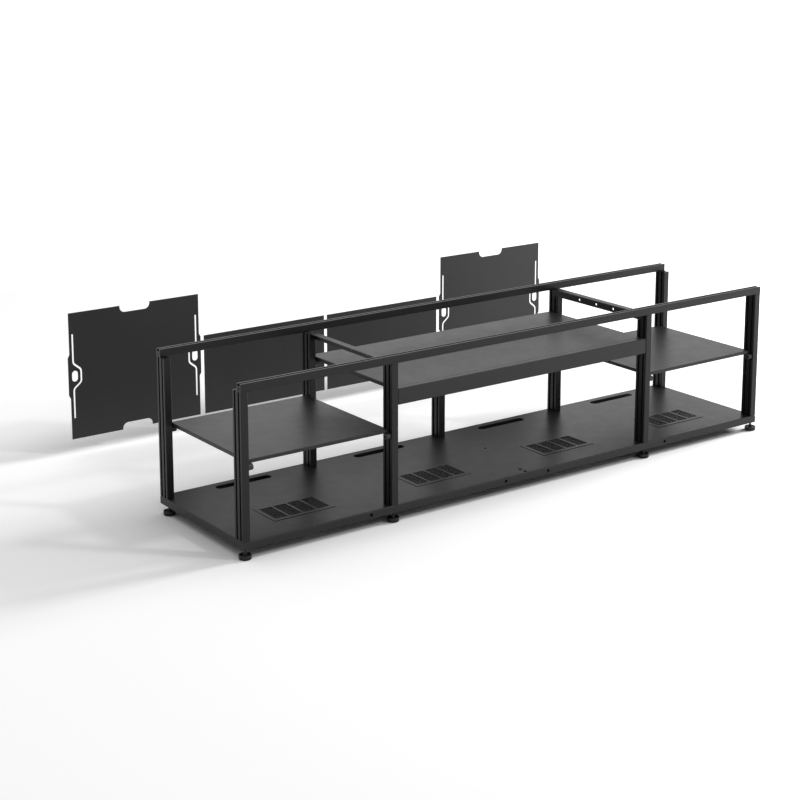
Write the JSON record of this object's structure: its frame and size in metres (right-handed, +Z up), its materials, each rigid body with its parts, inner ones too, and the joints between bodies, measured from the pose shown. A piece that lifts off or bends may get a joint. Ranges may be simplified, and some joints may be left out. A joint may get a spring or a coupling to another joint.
{
  "type": "projector cabinet",
  "caption": "Long low open media cabinet: slotted black posts on a folded base pan, side shelves, a raised projector deck, levelling feet and rear panels that pull off.",
  "frame": {"origin": "middle of the sole of the rear middle foot, on the floor", "axes": "+X to the right along the cabinet, +Y to the back, +Z up"},
  "size_m": [2.1586, 1.1906, 0.53],
  "materials": {
    "anodised_black": "black anodised, fine satin, drawn along its length",
    "powder_coat": "charcoal powder coat with a fine matte grain",
    "vent_mesh": "finely perforated black sheet",
    "black_steel": "black oxide",
    "pad_plastic": "moulded black plastic"
  },
  "bodies": {
    "frame": {"base_pan": "powder_coat", "vent_grille_1": "powder_coat", "vent_grille_2": "powder_coat", "vent_grille_3": "powder_coat", "vent_grille_4": "powder_coat", "vent_mesh_inserts": "vent_mesh", "front_post_left_outer": "anodised_black", "front_post_left_inner": "anodised_black", "front_post_right_inner": "anodised_black", "front_post_right_outer": "anodised_black", "rear_post_left_outer": "anodised_black", "rear_post_left_inner": "anodised_black", "rear_post_right_inner": "anodised_black", "rear_post_right_outer": "anodised_black", "rear_post_middle": "anodised_black", "front_top_rail": "anodised_black", "rear_top_rail": "anodised_black", "left_cross_rail": "powder_coat", "right_cross_rail": "powder_coat", "projector_deck": "powder_coat", "projector_apron": "powder_coat", "deck_supports": "black_steel", "deck_and_apron_slot_nuts": "black_steel", "apron_screws": "black_steel", "rail_screws": "black_steel", "cross_rail_screws": "black_steel", "post_base_screws": "black_steel", "foot_lock_nuts": "black_steel"},
    "left_shelf": {"left_side_shelf": "powder_coat", "left_shelf_supports": "black_steel", "left_shelf_slot_nuts": "black_steel"},
    "right_shelf": {"right_side_shelf": "powder_coat", "right_shelf_supports": "black_steel", "right_shelf_slot_nuts": "black_steel"},
    "foot_front_left_outer": {"foot_pad_front_left_outer": "pad_plastic", "foot_stud_front_left_outer": "black_steel"},
    "foot_front_left_inner": {"foot_pad_front_left_inner": "pad_plastic", "foot_stud_front_left_inner": "black_steel"},
    "foot_front_right_inner": {"foot_pad_front_right_inner": "pad_plastic", "foot_stud_front_right_inner": "black_steel"},
    "foot_front_right_outer": {"foot_pad_front_right_outer": "pad_plastic", "foot_stud_front_right_outer": "black_steel"},
    "foot_rear_left_outer": {"foot_pad_rear_left_outer": "pad_plastic", "foot_stud_rear_left_outer": "black_steel"},
    "foot_rear_left_inner": {"foot_pad_rear_left_inner": "pad_plastic", "foot_stud_rear_left_inner": "black_steel"},
    "foot_rear_right_inner": {"foot_pad_rear_right_inner": "pad_plastic", "foot_stud_rear_right_inner": "black_steel"},
    "foot_rear_right_outer": {"foot_pad_rear_right_outer": "pad_plastic", "foot_stud_rear_right_outer": "black_steel"},
    "foot_rear_middle": {"foot_pad_rear_middle": "pad_plastic", "foot_stud_rear_middle": "black_steel"},
    "left_tall_panel": {"rear_panel_left_tall": "powder_coat"},
    "right_tall_panel": {"rear_panel_right_tall": "powder_coat"},
    "left_short_panel": {"rear_panel_left_short": "powder_coat"},
    "right_short_panel": {"rear_panel_right_short": "powder_coat"}
  },
  "joints": [
    {"name": "foot_front_left_outer_height", "type": "slide", "parent": "frame", "child": "foot_front_left_outer", "axis": [0, 0, 1], "range_m": [-0.01, 0.01]},
    {"name": "foot_front_left_inner_height", "type": "slide", "parent": "frame", "child": "foot_front_left_inner", "axis": [0, 0, 1], "range_m": [-0.01, 0.01]},
    {"name": "foot_front_right_inner_height", "type": "slide", "parent": "frame", "child": "foot_front_right_inner", "axis": [0, 0, 1], "range_m": [-0.01, 0.01]},
    {"name": "foot_front_right_outer_height", "type": "slide", "parent": "frame", "child": "foot_front_right_outer", "axis": [0, 0, 1], "range_m": [-0.01, 0.01]},
    {"name": "foot_rear_left_outer_height", "type": "slide", "parent": "frame", "child": "foot_rear_left_outer", "axis": [0, 0, 1], "range_m": [-0.01, 0.01]},
    {"name": "foot_rear_left_inner_height", "type": "slide", "parent": "frame", "child": "foot_rear_left_inner", "axis": [0, 0, 1], "range_m": [-0.01, 0.01]},
    {"name": "foot_rear_right_inner_height", "type": "slide", "parent": "frame", "child": "foot_rear_right_inner", "axis": [0, 0, 1], "range_m": [-0.01, 0.01]},
    {"name": "foot_rear_right_outer_height", "type": "slide", "parent": "frame", "child": "foot_rear_right_outer", "axis": [0, 0, 1], "range_m": [-0.01, 0.01]},
    {"name": "foot_rear_middle_height", "type": "slide", "parent": "frame", "child": "foot_rear_middle", "axis": [0, 0, 1], "range_m": [-0.01, 0.01]},
    {"name": "left_shelf_height", "type": "slide", "parent": "frame", "child": "left_shelf", "axis": [0, 0, 1], "range_m": [-0.1, 0.12]},
    {"name": "right_shelf_height", "type": "slide", "parent": "frame", "child": "right_shelf", "axis": [0, 0, 1], "range_m": [-0.1, 0.12]},
    {"name": "left_tall_panel_removal", "type": "slide", "parent": "frame", "child": "left_tall_panel", "axis": [0, 1, 0], "range_m": [-0.692, 0]},
    {"name": "right_tall_panel_removal", "type": "slide", "parent": "frame", "child": "right_tall_panel", "axis": [0, 1, 0], "range_m": [-0.692, 0]},
    {"name": "left_short_panel_removal", "type": "slide", "parent": "frame", "child": "left_short_panel", "axis": [0, 1, 0], "range_m": [-0.692, 0]},
    {"name": "right_short_panel_removal", "type": "slide", "parent": "frame", "child": "right_short_panel", "axis": [0, 1, 0], "range_m": [-0.692, 0]}
  ]
}
